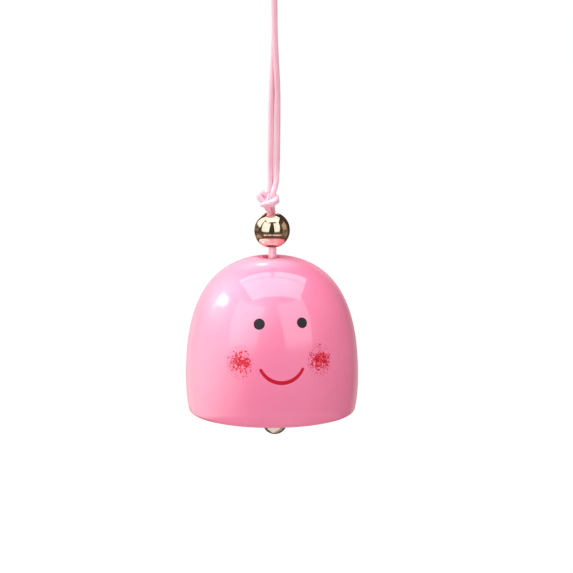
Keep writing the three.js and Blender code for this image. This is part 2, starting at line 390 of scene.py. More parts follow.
# The same room without its soft side lights, for the polished metal, which shows every edge. It stands inside
# the other one.
metalRoom = {
    "radius": 0.86,
    "colour": (84, 70, 58),
    "opening": None,
    "ceilingLevels": (1.25, 1.25),
    "lightsEnd": (-91, -90),
    "mottle": {
        "colour": (58, 47, 40),
        "size": 0.16,
        "spots": (0.42, 0.62),
        "share": 0.75,
        "end": (-50, -44),  # none on the table top
    },
    "seeThrough": True,
    "windows": {
        "wall": ((-140, 0), (-90, 0), (12, 20), (52, 60), 1.25),
        "left": ((-73, -0.2), (-26, 0.2), (-6, 3), (50, 55), 1.15),
        "right": ((11.5, -0.08), (44, 0.3), (-6, 3), (50, 55), 1.15),
    },
    "glows": {},
    "patches": {
        "leftGrey": ((-170, -78), (-7, 15), 5, (142, 128, 116)),
        "leftDark": ((-98, -72), (-14, 13), 6, (94, 80, 70)),
        "underWindows": ((-62, 48), (-12, -1), 8, (122, 108, 96)),
        "gap": ((-24, 9), (-14, 30), 5, (72, 62, 54)),
        "lowBand": ((-130, 120), (-28, -13), 4, (128, 104, 90)),
        "tableEdge": ((-64, 60), (-26.5, -18.5), 3, (252, 238, 220)),
        "tableFront": ((-100, 120), (-44, -27), 3, (122, 88, 74)),
        "tanLeft": ((-150, -84), (-38, -20), 5, (192, 156, 134)),
        "brownDoor": ((67, 114), (-24, 34), 5, (160, 132, 112)),
        "brownDoorLit": ((72, 108), (4, 32), 6, (204, 174, 146)),
        "darkCorner": ((114, 150), (-4, 52), 6, (72, 57, 46)),
        "tableTop": ((-180, 180), (-95, -46), 5, (236, 225, 214)),
        "tableShade": ((62, 185), (-86, -46), 7, (176, 152, 142)),
        "tableBackRight": ((118, 185), (-64, -30), 5, (104, 88, 78)),
        "tableBackLeft": ((-185, -118), (-64, -30), 5, (104, 88, 78)),
    },
}


def direction(azimuth, elevation):
    a, e = math.radians(azimuth), math.radians(elevation)
    return Vector((math.sin(a) * math.cos(e), -math.cos(a) * math.cos(e), math.sin(e)))


def setLamps():
    for name, lamp in lamps.items():
        toward = direction(lamp["azimuth"], lamp["elevation"])
        bpy.ops.object.light_add(type="AREA", location=Vector(studio["aim"]) + toward * lamp["away"])
        piece = bpy.context.object
        piece.name = name
        piece.rotation_euler = toward.to_track_quat("Z", "Y").to_euler()
        piece.data.shape = "ELLIPSE"
        wide, tall = (2 * lamp["away"] * math.tan(math.radians(angle / 2)) for angle in lamp["size"])
        piece.data.size, piece.data.size_y = wide, tall
        piece.data.energy = math.pi * (math.pi / 4 * wide * tall) * lamp["level"]
        piece.visible_camera = False
        piece.visible_glossy = False


def ceilingLight(finish, x, y, z, levels):
    high = z.work("MAXIMUM", ceiling["lowest"])
    over, back = x / high, y / high
    panel = finish.between(over, *ceiling["sides"], ceiling["sideFade"])
    half, fade = ceiling["divideHalf"], ceiling["divideFade"]
    divide = back - over * ceiling["divideLean"] - ceiling["divide"]
    front = finish.rise(back, *ceiling["front"]) * finish.fall(divide, -half, fade - half)
    rear = finish.rise(divide, half - fade, half) * finish.fall(back, *ceiling["back"])
    offRib = (over - ceiling["rib"]).work("ABSOLUTE")
    rib = finish.rise(offRib, ceiling["ribWidth"] / 2, ceiling["ribWidth"], ceiling["ribShade"], 1.0)
    return panel * (front * levels[0] + rear * rib * levels[1])


def paintRoom(name, room):
    finish = newFinish(name)
    here = finish.add("ShaderNodeTexCoord", output="Object")
    toward = finish.add("ShaderNodeVectorMath", {"operation": "NORMALIZE"}, [here])
    x = finish.add("ShaderNodeSeparateXYZ", None, [toward])
    y, z = x.other("Y"), x.other("Z")
    azimuth = x.work("ARCTAN2", y * -1) * math.degrees(1)
    elevation = z.work("ARCSINE") * math.degrees(1)

    lit = [ceilingLight(finish, x, y, z, room["ceilingLevels"])]
    half = studio["windowFade"] / 2
    for (left, leftLean), (right, rightLean), bottom, top, level in room["windows"].values():
        shape = finish.rise(azimuth - elevation * leftLean, left - half, left + half)
        shape = shape * finish.fall(azimuth - elevation * rightLean, right - half, right + half)
        lit.append(shape * finish.rise(elevation, *bottom) * finish.fall(elevation, *top) * level)
    for glowAzimuth, glowElevation, bright, end, level in room["glows"].values():
        facing = finish.add(
            "ShaderNodeVectorMath", {"operation": "DOT_PRODUCT"},
            [toward, direction(glowAzimuth, glowElevation)], output="Value")
        away = facing.work("MINIMUM", 1.0).work("ARCCOSINE") * math.degrees(1)
        lit.append(finish.fall(away, bright, end) * level)
    white = together("ADD", lit) * finish.rise(elevation, *room["lightsEnd"])

    colour = room["colour"]
    for azimuths, elevations, fade, patchColour in room["patches"].values():
        shape = finish.between(azimuth, *azimuths, fade) * finish.between(elevation, *elevations, fade)
        colour = finish.tint(shape, colour, patchColour)
    mottle = room["mottle"]
    if mottle:
        spots = finish.grain(toward, mottle["size"], 3, 0.65, 0.6)
        spots = finish.rise(spots, *mottle["spots"], 0.0, mottle["share"])
        spots = spots * finish.rise(elevation, *mottle["end"])
        colour = finish.tint(spots, colour, mottle["colour"])

    walls = finish.add("ShaderNodeEmission", None, {"Color": colour, "Strength": 1.0})
    lights = finish.add("ShaderNodeEmission", None, {"Color": studio["roomLightTint"], "Strength": white})
    shader = finish.add("ShaderNodeAddShader", None, [walls, lights])
    if room["seeThrough"]:
        # the pieces that this room isn't for look through it at the other one
        shader = finish.add("ShaderNodeAddShader", None, [shader, finish.add("ShaderNodeBsdfTransparent")])
    return finish.closeWith(shader)


def setRoom(name, room):
    # a dome that only reflections see, and only those on the pieces put in its collection
    bpy.ops.mesh.primitive_uv_sphere_add(
        segments=120, ring_count=60, radius=room["radius"], location=Vector(studio["aim"]))
    dome = nameNew(name)
    if room["opening"]:
        right, left = room["opening"]
        low, high = room["openingHeight"]

        def isInOpening(pane):
            centre = pane.calc_center_median()
            turn = math.degrees(math.atan2(centre.x, centre.y))
            return centre.y > 0 and low < centre.z < high and right < turn < left

        openForEditing(dome)
        pick(dome, "faces", isInOpening)
        bpy.ops.mesh.delete(type="FACE")
        closeEditing()
    material = paintRoom(name, room)
    material.cycles.emission_sampling = "NONE"
    dome.data.materials.append(material)
    for ray in ("camera", "diffuse", "transmission", "volume_scatter", "shadow"):
        setattr(dome, "visible_" + ray, False)
    dome.light_linking.receiver_collection = bpy.data.collections.new(name)
    return dome.light_linking.receiver_collection


def setFloor():
    bpy.ops.mesh.primitive_plane_add(size=studio["floorSize"], location=(0, 0, -studio["floorDrop"]))
    floor = nameNew("floor")
    finish = newFinish("palePaper")
    lit = finish.add("ShaderNodeBsdfDiffuse", None, {"Color": studio["floorPaper"]})
    glow = finish.add("ShaderNodeEmission", None, {"Color": (1, 1, 1, 1), "Strength": studio["floorGlow"]})
    shader = finish.blendOf(finish.seenPlain() * studio["floorWhite"], lit, glow)
    floor.data.materials.append(finish.closeWith(shader))


def setWorld():
    world = bpy.data.worlds.new("studio")
    bpy.context.scene.world = world
    finish = Finish(world)
    soft = finish.add("ShaderNodeBackground", None, [studio["ambientTint"], studio["ambient"]])
    white = finish.add("ShaderNodeBackground", None, [(1, 1, 1, 1), 1.0])
    finish.closeWith(finish.blendOf(finish.seenPlain(), soft, white), "ShaderNodeOutputWorld")
    bpy.context.scene.view_settings.view_transform = "Standard"


setCamera()
setLamps()
enamelPieces = setRoom("enamelRoom", enamelRoom)
metalPieces = setRoom("metalRoom", metalRoom)
setFloor()
setWorld()
print("camera and studio set")


satin = {
    "pink": (252, 214, 227),
    "shade": (238, 158, 184),
    "upperPink": (243, 189, 205),  # above the knot the cord is deeper
    "upperShade": (214, 128, 152),
    "upperStart": (-64, -56),
    "beadReflection": (255, 152, 170),  # painted reflection of the bead, on the tail from the knot to the bead
    "beadReflectionEnds": (-73.6, -69.2),
    "beadReflectionFade": 1.4,
    "threads": 7,  # crossings round the cord
    "pitch": 0.62,  # length of one crossing
    "threadDepth": 0.035,
    "fibres": (26, 1.4),  # how close they are round the cord and along it
    "wearSize": 5,
    "gapShade": 0.42,  # what the gaps between threads (painted shade), the fibres and the wear add to the shade
    "fibreShade": 0.6,
    "wearShade": 0.3,
    "roughness": (0.24, 0.4),
}


def makeSatin():
    finish = newFinish("satinCord")
    along = finish.add("ShaderNodeUVMap", {"uv_map": "cordLength"})
    around = finish.add("ShaderNodeSeparateXYZ", None, [along])
    length = around.other("Y")
    turn = around * (math.pi * satin["threads"])
    run = length * (math.pi / satin["pitch"])
    weave = (turn + run).work("SINE").work("ABSOLUTE") * (turn - run).work("SINE").work("ABSOLUTE")
    point = finish.place()
    fibreRound, fibreAlong = satin["fibres"]
    fibre = finish.add("ShaderNodeCombineXYZ", None, [around * fibreRound, length * fibreAlong])
    fibre = finish.grain(fibre, 1, 3, 0.6)
    wear = finish.grain(point, satin["wearSize"])
    # painted shade in the gaps between the threads, with uneven tone from the fibres and the wear
    shade = finish.rise(weave, 0.0, 0.55, satin["gapShade"], 0.0)
    shade = shade + (fibre - 0.5) * satin["fibreShade"] + (wear - 0.5) * satin["wearShade"]
    shade = finish.rise(shade, 0.0, 0.6)
    height = finish.height(point)
    colour = finish.tint(
        finish.rise(height, *satin["upperStart"]),
        finish.tint(shade, satin["pink"], satin["shade"]),
        finish.tint(shade, satin["upperPink"], satin["upperShade"]))
    # painted reflection: the tail just over the bead takes a warm tint that stands for the gold bead's
    # reflection
    beadReflection = finish.between(height, *satin["beadReflectionEnds"], satin["beadReflectionFade"])
    beadReflection = beadReflection * finish.rise(fibre, 0.2, 0.7, 1.0, 0.7)  # patchy, as the fibres are
    return finish.surface({
        "Base Color": finish.tint(beadReflection, colour, satin["beadReflection"]),
        "Roughness": finish.rise(fibre, 0.3, 0.7, *satin["roughness"]),
        "Normal": finish.bump(weave + fibre * 0.4, satin["threadDepth"], 0.8),
        "Sheen Weight": 0.2, "Sheen Roughness": 0.4, "Specular IOR Level": 0.9,
    })


satinFinish = makeSatin()

cordSizes = {
    "diameter": 1.6,
    "sides": 20,
    "step": 0.35,  # length of one ring of faces
    "unevenness": 0.02,
    "ends": (22, 42, 62, 82),  # degrees of the rings that round off an end
    "pitch": 1.8,  # between the strands' middles
    "pressedPitch": 1.4,  # where the pair is squeezed through the bead and the bell
    "loopRadius": 3.3,
    "loopTurn": -100,
    "loopSway": 0.7,
    "closesAt": -9.4,
}
cordRadius = cordSizes["diameter"] / 2
tied = {"step": 0.2, "unevenness": 0.05}  # a cord pulled tight in a knot

# height, middle of the pair, turn of the pair in degrees
hangingRoute = [
    (-11.3, 0.72, -100), (-16, 0.8, -98), (-22, 0.84, -93), (-27.5, 0.85, -78), (-32.5, 0.84, -58),
    (-37.5, 0.8, -36), (-43, 0.74, -22), (-50, 0.66, -16), (-56.5, 0.55, -16), (-62.2, 0.42, -33),
]

# the same, from the knot through the bead and the crown
throughRoute = [
    (-70.6, -0.2, 50), (-71.3, -0.13, 55), (-73, 0, 66), (-76, 0, 84), (-79, 0.08, 101), (-81.5, 0.18, 109),
    (-84.5, 0.03, 109), (-85.85, 0.03, 109),
]

# height and half width of the loop over the hook
loopRoute = [(-9.4, 0.9), (-8, 1.15), (-6.4, 1.9), (-4.8, 2.75), (-3.4, 3.2)]


def throughPoints(points, step):
    # an even curve through the points, cut into short steps
    given = [Vector(point) for point in points]
    given = [given[0] * 2 - given[1], *given, given[-1] * 2 - given[-2]]
    line = []
    for before, start, end, after in zip(given, given[1:], given[2:], given[3:]):
        first, second, third = (
            math.sqrt((b - a).length) for a, b in ((before, start), (start, end), (end, after)))
        leave = (start - before) / first - (end - before) / (first + second) + (end - start) / second
        arrive = (end - start) / second - (after - start) / (second + third) + (after - end) / third
        leave, arrive = leave * second, arrive * second
        count = max(2, round((end - start).length / step))
        for place in range(count):
            t = place / count
            line.append(
                start * (2 * t ** 3 - 3 * t ** 2 + 1) + leave * (t ** 3 - 2 * t ** 2 + t)
                + end * (3 * t ** 2 - 2 * t ** 3) + arrive * (t ** 3 - t ** 2))
    line.append(given[-2])
    return line


def layCord(name, points, radius, step=cordSizes["step"], unevenness=cordSizes["unevenness"]):
    # a round-ended length of cord along the points; its UV map is the turn round it and the length along it
    sides = cordSizes["sides"]
    line = throughPoints(points, step)
    last = len(line) - 1
    aheads = [
        (line[min(place + 1, last)] - line[max(place - 1, 0)]).normalized() for place in range(len(line))]
    lengths = [0.0]
    for first, second in zip(line, line[1:]):
        lengths.append(lengths[-1] + (second - first).length)
    rings = [(point, ahead, radius, length) for point, ahead, length in zip(line, aheads, lengths)]
    for degrees in cordSizes["ends"]:
        out, thin = math.sin(math.radians(degrees)), math.cos(math.radians(degrees))
        rings.insert(0, (line[0] - aheads[0] * radius * out, aheads[0], radius * thin, lengths[0]))
        rings.append((line[-1] + aheads[-1] * radius * out, aheads[-1], radius * thin, lengths[-1]))
    verts, faces = [], []
    across = aheads[0].orthogonal().normalized()
    for centre, ahead, thick, length in rings:
        across = (across - ahead * across.dot(ahead)).normalized()
        aside = ahead.cross(across)
        for side in range(sides):
            angle = 2 * math.pi * side / sides
            outward = across * math.cos(angle) + aside * math.sin(angle)
            uneven = 1 + unevenness * noise.noise((centre + outward * 0.6) * 0.9)
            verts.append((centre + outward * thick * uneven) * mm)
    for ring in range(len(rings) - 1):
        here, there = ring * sides, (ring + 1) * sides
        for side in range(sides):
            following = (side + 1) % sides
            faces.append((here + side, here + following, there + following, there + side))
    faces.append(tuple(reversed(range(sides))))
    faces.append(tuple(range((len(rings) - 1) * sides, len(rings) * sides)))
    mesh = bpy.data.meshes.new(name)
    mesh.from_pydata(verts, [], faces)
    layer = mesh.uv_layers.new(name="cordLength")
    for index, polygon in enumerate(mesh.polygons):
        polygon.use_smooth = True
        ring, side = divmod(index, sides)
        closesTurn = ring < len(rings) - 1 and side == sides - 1
        for loop, vertex in zip(polygon.loop_indices, polygon.vertices):
            row, column = divmod(vertex, sides)
            turned = 1 if closesTurn and column == 0 else column / sides
            layer.data[loop].uv = (turned, rings[row][3])
    piece = bpy.data.objects.new(name, mesh)
    bpy.context.scene.collection.objects.link(piece)
    piece.data.materials.append(satinFinish)
    return piece, line, lengths[-1]


def strand(route, pitch, side):
    points = []
    for height, centre, degrees in route:
        turn = math.radians(degrees)
        points.append((centre + side * pitch / 2 * math.cos(turn), side * pitch / 2 * math.sin(turn), height))
    return points


def loopPoints():
    turn = math.radians(cordSizes["loopTurn"])

    def place(height, offset):
        sway = cordSizes["loopSway"] * min(1, max(0, height / cordSizes["closesAt"]))
        return (sway + offset * math.cos(turn), offset * math.sin(turn), height)

    radius = cordSizes["loopRadius"]
    bend = cordRadius - radius
    points = [place(height, half) for height, half in loopRoute]
    for degrees in range(0, 181, 20):
        angle = math.radians(degrees)
        points.append(place(bend + radius * math.sin(angle), radius * math.cos(angle)))
    return points + [place(height, -half) for height, half in reversed(loopRoute)]


rightStrand, leftStrand = (strand(hangingRoute, cordSizes["pitch"], side) for side in (1, -1))
hangingPoints = rightStrand[::-1] + loopPoints() + leftStrand
hangingCord, hangingLine, hangingLength = layCord("hangingCord", hangingPoints, cordRadius)
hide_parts("cord_loop", "hanging_cord_right", "hanging_cord_left")
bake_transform(hangingCord)
print(f"hanging cord laid, {hangingLength:.1f} mm long")


# the knot's runs of cord, their heights from the knot's middle
knot = {
    "height": -67.5,
    "thickness": 0.985,
    "runs": {
        "downRight": [
            (1.15, -0.49, 5.3), (0.8, -0.6, 3.9), (0.45, -0.72, 2.9), (0.12, -0.75, 1.7),
            (-0.15, -0.4, 0.7), (0, 0, -0.6), (0.1, 0.35, -1.7), (0.22, 0.54, -3.1)],
        "downLeft": [
            (-0.34, 0.49, 5.3), (-0.43, 0.55, 3.9), (-0.46, 0.6, 2.9), (-0.6, 0.6, 1.7),
            (-0.95, 0.3, 0.5), (-1.6, 0.1, -0.5), (-1.7, -0.2, -1.3), (-1.25, -0.47, -1.9),
            (-0.85, -0.54, -2.35), (-0.66, -0.54, -3.1)],
        "upperBandAndEar": [
            (-1.2, 0.5, -0.5), (-2.15, 0.25, -0.85), (-2.6, -0.5, -0.85), (-1.75, -1.5, -0.45),
            (-0.5, -2.05, -0.1), (0.55, -1.75, 0.4), (1.15, -0.8, 0.8), (1.05, 0.5, 1.05), (0.5, 1.3, 1.2),
            (-0.5, 1.45, 1.1), (-1.35, 1.1, 1), (-1.83, 0.6, 1.42), (-2.27, 0.3, 2.13), (-2.9, 0, 2.3),
            (-3.53, -0.3, 1.98), (-3.63, -0.45, 1.4), (-3.2, -0.5, 0.74), (-2.65, -0.4, 0.12),
            (-1.9, 0, -0.3), (-1.2, 0.3, -0.5)],
        "lowerBand": [
            (-1.2, 0.3, -1.2), (-1.4, -0.5, -1.05), (-0.8, -1.2, -0.85), (0.1, -1.45, -0.6),
            (0.9, -1.2, -0.1), (1.35, -0.3, 0), (1.2, 0.8, 0.1), (0.2, 1.5, 0), (-1, 1.15, -0.4),
            (-1.3, 0.4, -0.8)],
    },
}


def tieKnot():
    runs = []
    for name, points in knot["runs"].items():
        placed = [(x, y, z + knot["height"]) for x, y, z in points]
        runs.append(layCord(name, placed, cordRadius * knot["thickness"], **tied)[0])
    return joinPieces("topKnot", runs)


topKnot = tieKnot()
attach(topKnot, "cord")
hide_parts("top_knot")

throughCord = joinPieces("throughCord", [
    layCord(f"throughStrand{side}", strand(throughRoute, cordSizes["pressedPitch"], side), cordRadius)[0]
    for side in (1, -1)])
throughCord.visible_glossy = False  # the crown's gloss shows the ceiling and not the cord
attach(throughCord, "cord")
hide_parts("through_cord")

hangingLength * mm
[tuple(point * mm) for point in hangingLine]
print("knot tied and pair threaded")


gold = {
    "tone": (246, 236, 221),
    "warm": (236, 219, 196),
    "under": (250, 236, 204),  # painted warm reflection, on the half of the bead that faces the bell
    "warmReflectionStart": (-77.2, -78.2),
    "ballTone": (238, 230, 222),
    "ballWarm": (216, 202, 188),
    "cloudSize": 2.5,
    "rubSize": 0.5,
    "rubStretch": (1, 1, 9),
    "roughness": (0.03, 0.10),
    "scratchDepth": 0.004,
}

steel = {
    "tone": (196, 198, 202),
    "stain": (150, 147, 142),
    "stainSize": 1.6,
    "brushSize": 0.8,
    "brushStretch": (1, 9, 9),
    "roughness": (0.22, 0.42),
    "brushDepth": 0.01,
}


def makeGold(name, tone, warm, under):
    finish = newFinish(name)
    point = finish.place()
    cloud = finish.grain(point, gold["cloudSize"], 3)
    rub = finish.streaks(point, gold["rubStretch"], gold["rubSize"], 4, 0.7)
    colour = finish.tint(finish.rise(cloud, 0.35, 0.7), tone, warm)
    # painted reflection: the half of the bead that faces the bell is tinted warmer
    below = finish.rise(finish.height(point), *gold["warmReflectionStart"])
    return finish.surface({
        "Base Color": finish.tint(below, colour, under), "Metallic": 1.0,
        "Roughness": finish.rise(rub, 0.35, 0.8, *gold["roughness"]),
        "Normal": finish.bump(rub, gold["scratchDepth"], 0.25),
    })


def makeSteel():
    finish = newFinish("bareSteel")
    point = finish.place()
    brush = finish.streaks(point, steel["brushStretch"], steel["brushSize"], 4, 0.65)
    stain = finish.rise(finish.grain(point, steel["stainSize"], 3), 0.4, 0.75)
    return finish.surface({
        "Base Color": finish.tint(stain, steel["tone"], steel["stain"]), "Metallic": 1.0,
        "Roughness": finish.rise(brush, 0.3, 0.7, *steel["roughness"]),
        "Normal": finish.bump(brush, steel["brushDepth"], 0.4),
    })


goldFinish = makeGold("polishedGold", gold["tone"], gold["warm"], gold["under"])
ballFinish = makeGold("rubbedGold", gold["ballTone"], gold["ballWarm"], gold["ballTone"])
steelFinish = makeSteel()

bead = {
    "height": -75.67,
    "radius": 5,
    "boreRadius": 1.8,
    "edge": 0.25,  # how far the bore's mouth is countersunk
    "edgeRound": 0.07,
    "segments": 80,
    "rings": 52,
}


def makeBead():
    # a ball with its two poles opened and joined by a bore
    mouthRadius = bead["boreRadius"] + bead["edge"]
    opening = math.asin(mouthRadius / bead["radius"])
    rimHeight = bead["radius"] * math.cos(opening)
    centre = Vector((0, 0, bead["height"])) * mm
    bpy.ops.mesh.primitive_uv_sphere_add(
        segments=bead["segments"], ring_count=bead["rings"], radius=bead["radius"] * mm, location=centre)
    piece = nameNew("goldBead")
    applyAll(piece)
    openForEditing(piece)
    pick(piece, "verts", lambda vert: abs(vert.co.z - centre.z) > (rimHeight + 0.04) * mm)
    bpy.ops.mesh.delete(type="VERT")
    shrink = bead["boreRadius"] / mouthRadius
    for end in (1, -1):
        pick(piece, "edges", lambda edge: edge.is_boundary and end * (edge.verts[0].co.z - centre.z) > 0)
        bpy.ops.mesh.extrude_region_move(TRANSFORM_OT_translate={"value": (0, 0, -end * bead["edge"] * mm)})
        bpy.ops.transform.resize(value=(shrink, shrink, 1), center_override=(0, 0, centre.z))
    pick(piece, "edges", lambda edge: edge.is_boundary)
    bpy.ops.mesh.bridge_edge_loops(number_cuts=6)
    pick(piece, "edges", lambda edge: isSharp(edge, 20) and isLevel(edge))
    bpy.ops.mesh.bevel(offset=bead["edgeRound"] * mm, segments=2, affect="EDGES")
    turnOutward()
    closeEditing()
    smooth(piece, 50)
    piece.data.materials.append(goldFinish)
    return piece


goldBead = makeBead()
goldBead.visible_glossy = False  # the crown's gloss shows the ceiling and not the bead
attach(goldBead, "bead")
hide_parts("gold_bead")
print("bead turned and bored")


bell = {
    "crown": -83,
    "radius": 24,
    "height": 43.5,
    "bellyDepth": 33.9,
    "crownReach": 21.4,
    "shoulderReach": 14.1,
    "mouthRadius": 23.2,
    "skirtReach": 4.2,
    "mouthReach": 1.6,
    "mouthLean": 0.35,
    "wall": 1.8,
    "lipRound": 0.96,  # of half the wall
    "holeRadius": 2.2,
    "holeRound": 0.5,
    "roundSteps": 5,
    "turns": 160,
}
mouthHeight = bell["crown"] - bell["height"]

# the face is placed by its distance round the bell and its height
face = {
    "eyes": [(-15.73, -97.88, 1.58), (16.13, -97.78, 1.5)],  # degrees round the bell, height, radius
    "eyeSquash": 1.06,
    "smileMiddle": (0.1, -107.14),
    "smileRadius": 6.51,
    "smileHalfTurn": 62.5,
    "smileWidth": 1.13,
    "smileEndWidth": 0.9,
    "ragged": 0.12,  # how far the brush's edge wanders
    "cheeks": [(-28.4, -108.4, 0.13), (27.35, -108.2, 0.175)],  # degrees, height, thickness of the strokes
    "cheekCore": (3.4, 2.3),  # half width and half height of the thick of the dabs
    "cheekReach": (3.5, 4.3),  # and of the last flecks
    "cheekShift": (3.1, 1.7, 5.3),  # sets the two cheeks' grain apart
    "blotSize": 1.0,
    "fleckSize": 0.62,
    "fleckLevels": (0.63, 0.72),  # flecks are fewer towards the end of the dab
    "dabEdge": 0.012,
}

enamel = {
    "pink": (241, 128, 165),
    "deep": (229, 108, 147),
    "castSize": 14,
    "castShare": 0.25,
    "lipShadeHeights": (0.2, 1.4),  # over the mouth: painted shade, a darker band along the lip
    "lipShadeShare": 0.7,
    "eye": (37, 35, 41),
    "smile": (192, 16, 44),
    "dab": (206, 42, 58),
    "shadedDab": (188, 20, 46),  # painted shade: the right one, away from the light, is darker
    "dabPale": (232, 82, 100),
    "dabSize": 0.5,
    "holeShade": (228, 104, 142),  # painted shade, a deeper pink ring round the hole in the crown
    "holeShadeReach": (2.2, 3.2),
    "holeShadeHeights": (-84.5, -84.0),
    "slantEnds": (0.74, 0.92),  # seen this flat, the gloss gives way to that share of plain paint
    "slantShare": 0.6,
    "waviness": 0.02,
    "waveSize": 9,
    "peel": 0.004,
    "peelSize": 1.1,
    "markDepth": 0.02,
    "roughness": (0.42, 0.48),
    "plainRoughness": (0.5, 0.62),
}

inside = {
    "iron": (104, 92, 96),
    "spray": (222, 122, 156),
    "sprayHeights": (6, 36),  # over the mouth
    "sprayEdge": 14,
    "sprayLeast": 0.35,
    "lumpSize": 1.3,
    "lumpDepth": 0.12,
    "roughness": (0.72, 0.42),
}


def paintSmile(finish, around, z, ragged):
    smileX, smileZ = face["smileMiddle"]
    radius, halfTurn = face["smileRadius"], math.radians(face["smileHalfTurn"])
    aside = (around - smileX).work("ABSOLUTE")
    below = smileZ - z
    swing = aside.work("ARCTAN2", below) / halfTurn
    toEnd = (aside - radius * math.sin(halfTurn)).span(below - radius * math.cos(halfTurn))
    offLine = (aside.span(below) - radius).work("ABSOLUTE") + swing.work("GREATER_THAN", 1.0) * 20
    offLine = offLine.work("MINIMUM", toEnd) + ragged * 0.6
    halfWidth = finish.rise(swing, 0.1, 1.1, face["smileWidth"] / 2, face["smileEndWidth"] / 2)
    return finish.fall(offLine - halfWidth, -0.05, 0.05)


def paintCheek(finish, point, out, up, shift, thickness):
    # blots and flecks, as a nearly dry brush leaves them
    core, end = (
        (out * (1 / wide)).span(up * (1 / tall)) for wide, tall in (face["cheekCore"], face["cheekReach"]))
    shifted = finish.add("ShaderNodeVectorMath", {"operation": "ADD"}, [point, shift])
    blot = finish.grain(shifted, face["blotSize"], 1.5, 0.5, 0.6)
    fleck = finish.grain(shifted, face["fleckSize"], 0, 0.5, 0.5)
    edge = face["dabEdge"]
    strokes = finish.rise(core, 0.3, 1.3, thickness, edge) - (blot - 0.5).work("ABSOLUTE")
    blots = finish.rise(strokes, -edge, edge)
    flecks = finish.rise(fleck - finish.rise(end, 0.4, 1.2, *face["fleckLevels"]), -edge, edge)
    return blots.work("MAXIMUM", flecks) * finish.fall(end, 1.05, 1.2)


def makeEnamel():
    finish = newFinish("pinkEnamel")
    point = finish.place()
    x = finish.add("ShaderNodeSeparateXYZ", None, [point])
    y, z = x.other("Y"), x.other("Z")
    distance = x.span(y)
    around = x.work("ARCTAN2", y * -1) * distance
    ragged = (finish.grain(point, 0.5, 3, 0.6) - 0.5) * face["ragged"]

    dots, dabs = [], []
    for degrees, height, radius in face["eyes"]:
        far = (around - distance * math.radians(degrees)).span((z - height) * face["eyeSquash"]) + ragged
        dots.append(finish.fall(far, radius - 0.07, radius + 0.05))
    for side, (degrees, height, thickness) in enumerate(face["cheeks"]):
        shiftX, shiftY, shiftZ = face["cheekShift"]
        shift = (shiftX * side, shiftY, shiftZ * side)
        out = around - distance * math.radians(degrees)
        dabs.append(paintCheek(finish, point, out, z - height, shift, thickness))
    eyes, dabs = together("MAXIMUM", dots), together("MAXIMUM", dabs)
    smile = paintSmile(finish, around, z, ragged)
    # painted shade: a deeper pink, matte ring round the hole in the crown
    holeShade = finish.fall(distance + ragged, *enamel["holeShadeReach"]) * finish.rise(z, *enamel["holeShadeHeights"])
    painted = together("MAXIMUM", [eyes, smile, dabs, holeShade])

    cast = finish.grain(point, enamel["castSize"])
    # painted shade: a darker band of the pink just over the mouth, along the lip
    low, high = (mouthHeight + height for height in enamel["lipShadeHeights"])
    lipShade = finish.rise(z, low, high, enamel["lipShadeShare"], 0.0)
    # the darker pink is the cast's uneven tone plus the painted shade along the lip
    deep = (finish.rise(cast, 0.3, 0.7, 0.0, enamel["castShare"]) + lipShade).work("MINIMUM", 1.0)
    colour = finish.tint(deep, enamel["pink"], enamel["deep"])
    dabTone = finish.grain(point, enamel["dabSize"])
    # painted shade: the cheek on the right, away from the light, is darker
    marks = finish.tint(finish.rise(x, -1.0, 1.0), enamel["dab"], enamel["shadedDab"])
    marks = finish.tint(finish.rise(dabTone, 0.44, 0.64), marks, enamel["dabPale"])
    for mask, name in ((smile, "smile"), (eyes, "eye"), (holeShade, "holeShade")):
        marks = finish.tint(mask, marks, enamel[name])

    wavy = finish.bump(finish.grain(point, enamel["waveSize"], 1), enamel["waviness"])
    peeled = finish.bump(finish.grain(point, enamel["peelSize"]), enamel["peel"], under=wavy)
    raised = finish.bump(painted, enamel["markDepth"], 0.5, under=peeled)
    gloss = finish.add("ShaderNodeBsdfPrincipled", None, {
        "Base Color": colour, "Roughness": finish.rise(cast, 0.2, 0.8, *enamel["roughness"]),
        "Normal": raised, "Coat Weight": 1.0, "Coat Roughness": 0.04, "Specular IOR Level": 0.6,
    })
    plain = finish.add("ShaderNodeBsdfPrincipled", None, {
        "Base Color": finish.tint(painted, colour, marks),
        "Roughness": finish.rise(dabTone, 0.3, 0.7, *enamel["plainRoughness"]),
        "Normal": raised, "Specular IOR Level": 0.15,
    })
    slant = finish.add("ShaderNodeLayerWeight", None, {"Blend": 0.5}, output="Facing")
    dull = painted.work("MAXIMUM", finish.rise(slant, *enamel["slantEnds"], 0.0, enamel["slantShare"]))
    return finish.closeWith(finish.blendOf(dull, gloss, plain))


def makeInside():
    # spray that drifted into the mouth over rough cast iron
    finish = newFinish("insideOfBell")
    point = finish.place()
    lump = finish.grain(point, inside["lumpSize"], 4, 0.6)
    low, high = (mouthHeight + height for height in inside["sprayHeights"])
    ragged = finish.height(point) + (lump - 0.5) * inside["sprayEdge"]
    cover = finish.rise(ragged, low, high, 1.0, inside["sprayLeast"])
    return finish.surface({
        "Base Color": finish.tint(cover, inside["iron"], inside["spray"]),
        "Roughness": finish.rise(cover, 0.3, 1.0, *inside["roughness"]),
        "Normal": finish.bump(lump, inside["lumpDepth"], 0.7),
    })


